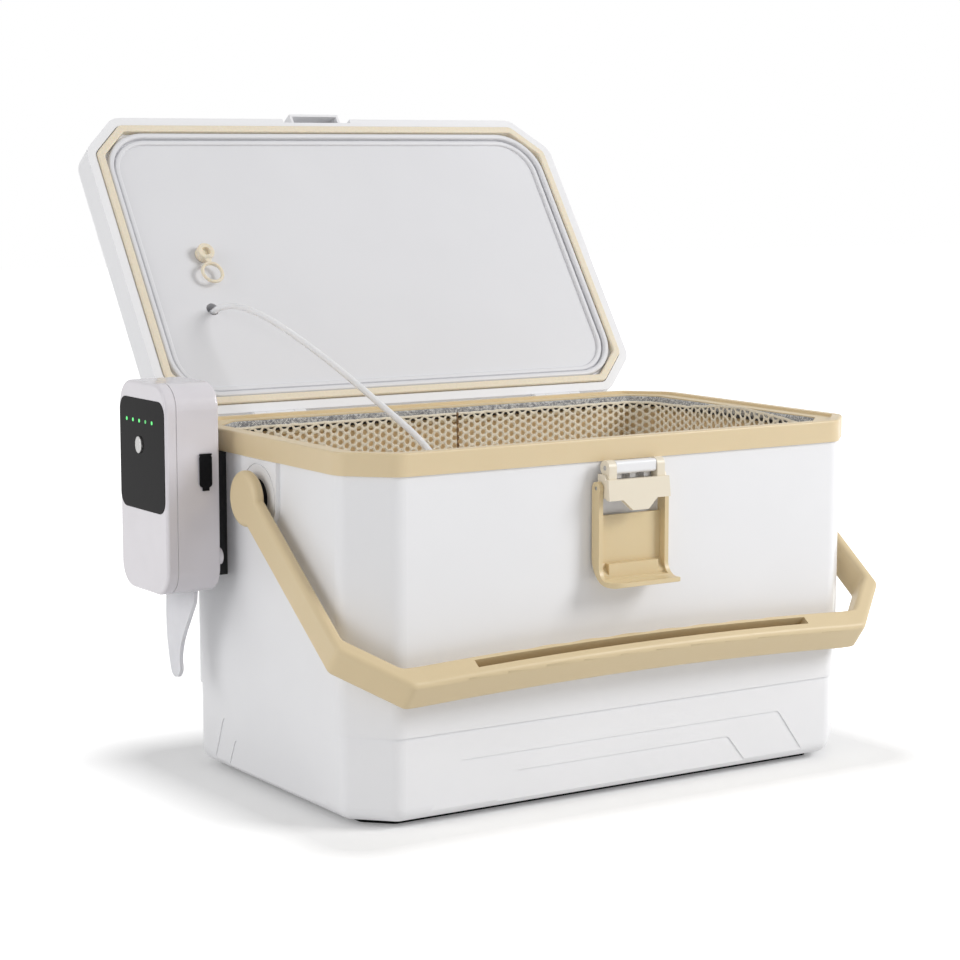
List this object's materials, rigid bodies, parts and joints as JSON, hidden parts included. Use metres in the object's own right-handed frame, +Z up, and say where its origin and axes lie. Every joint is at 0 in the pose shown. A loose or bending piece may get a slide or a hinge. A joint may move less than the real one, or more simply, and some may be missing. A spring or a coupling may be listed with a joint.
{
  "type": "aerated bait bucket",
  "caption": "Insulated bucket with hinged lid, front latch, bail handle, net bag and a side air pump with hose and stone.",
  "frame": {"origin": "centre of the base pad's underside, on the surface that the bucket stands on", "axes": "+Z up, +X along the bucket away from the pump, -Y the latch side, lid hinged at +Y"},
  "size_m": [0.4191, 0.4032, 0.3956],
  "materials": {
    "white_plastic": "satin",
    "beige_plastic": "satin",
    "cream_plastic": "satin",
    "tan_plastic": "satin",
    "liner_beige": "satin",
    "foam": "satin",
    "black_rubber": "satin",
    "beige_rubber": "satin",
    "grey_knit": "satin",
    "net": "satin",
    "steel": "satin",
    "pump_white": "satin",
    "black_gloss": "satin",
    "black_plastic": "satin",
    "green_light": "satin",
    "silver": "satin",
    "board_green": "satin",
    "cell_blue": "satin",
    "clear_hose": "satin",
    "stone_grey": "satin",
    "clip_clear": "satin",
    "white_rubber": "satin"
  },
  "bodies": {
    "bucket": {"bucket_shell": "white_plastic", "foam_insulation": "foam", "bucket_liner": "liner_beige", "rim_collar": "beige_plastic", "base_pad": "black_rubber", "net_band": "grey_knit", "net_bag": "net", "hinge_brackets": "white_plastic", "hinge_screws": "steel", "hinge_pins": "steel", "latch_base": "white_plastic", "latch_screws": "steel", "latch_pin": "steel", "pivot_studs": "steel", "pivot_washers": "black_rubber", "pump_bracket": "black_plastic", "bracket_screws": "steel", "pump_rear_case": "pump_white", "pump_front_cover": "pump_white", "pump_face_panel": "black_gloss", "led_lights": "green_light", "port_socket": "steel", "control_board": "board_green", "battery_cells": "cell_blue", "air_motor": "steel", "pump_head": "black_plastic", "diaphragm": "black_rubber", "air_duct": "black_plastic", "outlet_nozzle": "pump_white", "case_seal": "white_rubber", "case_screws": "steel", "button_spring": "steel", "clip_pin": "steel", "clip_spring": "steel", "air_hose": "clear_hose", "air_stone": "stone_grey"},
    "lid": {"lid_shell": "white_plastic", "lid_foam": "foam", "lid_liner": "white_plastic", "lid_gasket": "beige_rubber"},
    "lever": {"latch_lever": "cream_plastic", "hook_pin": "steel"},
    "hook": {"latch_hook": "tan_plastic"},
    "handle": {"carry_handle": "beige_plastic"},
    "plug": {"hole_plug": "white_rubber"},
    "button": {"power_button": "silver"},
    "port_flap": {"port_cover": "black_rubber"},
    "clip": {"pump_clip": "clip_clear"},
    "crank": {"motor_crank": "black_plastic"}
  },
  "joints": [
    {"name": "lid_hinge", "type": "hinge", "parent": "bucket", "child": "lid", "pos_m": [0, 0.116, 0.207], "axis": [-1, 0, 0], "range_deg": [-124.7, 0], "deforming": ["air_hose"]},
    {"name": "handle_swing", "type": "hinge", "parent": "bucket", "child": "handle", "pos_m": [0, 0, 0.175], "axis": [-1, 0, 0], "range_deg": [0, 126.5]},
    {"name": "lever_swing", "type": "hinge", "parent": "bucket", "child": "lever", "pos_m": [-0.003, -0.1175, 0.1936], "axis": [-1, 0, 0], "range_deg": [0, 110]},
    {"name": "hook_swing", "type": "hinge", "parent": "lever", "child": "hook", "pos_m": [-0.003, -0.1159, 0.1822], "axis": [1, 0, 0], "range_deg": [-180, 0]},
    {"name": "plug_pull", "type": "slide", "parent": "lid", "child": "plug", "axis": [0, -0.8221, 0.5693], "range_m": [0, 0.012]},
    {"name": "button_press", "type": "slide", "parent": "bucket", "child": "button", "axis": [1, 0, 0], "range_m": [0, 0.0012], "stiffness_N_per_m": 300, "deforming": ["button_spring"]},
    {"name": "port_flap_swing", "type": "hinge", "parent": "bucket", "child": "port_flap", "pos_m": [-0.2002, 0.0291, 0.198], "axis": [-1, 0, 0], "range_deg": [0, 100]},
    {"name": "clip_swing", "type": "hinge", "parent": "bucket", "child": "clip", "pos_m": [-0.2, 0.061, 0.13], "axis": [0, -1, 0], "range_deg": [-6, 10], "stiffness_Nm_per_rad": 0.1},
    {"name": "crank_spin", "type": "hinge", "parent": "bucket", "child": "crank", "pos_m": [-0.2152, 0.061, 0.146], "axis": [0, 0, 1], "continuous": true}
  ]
}
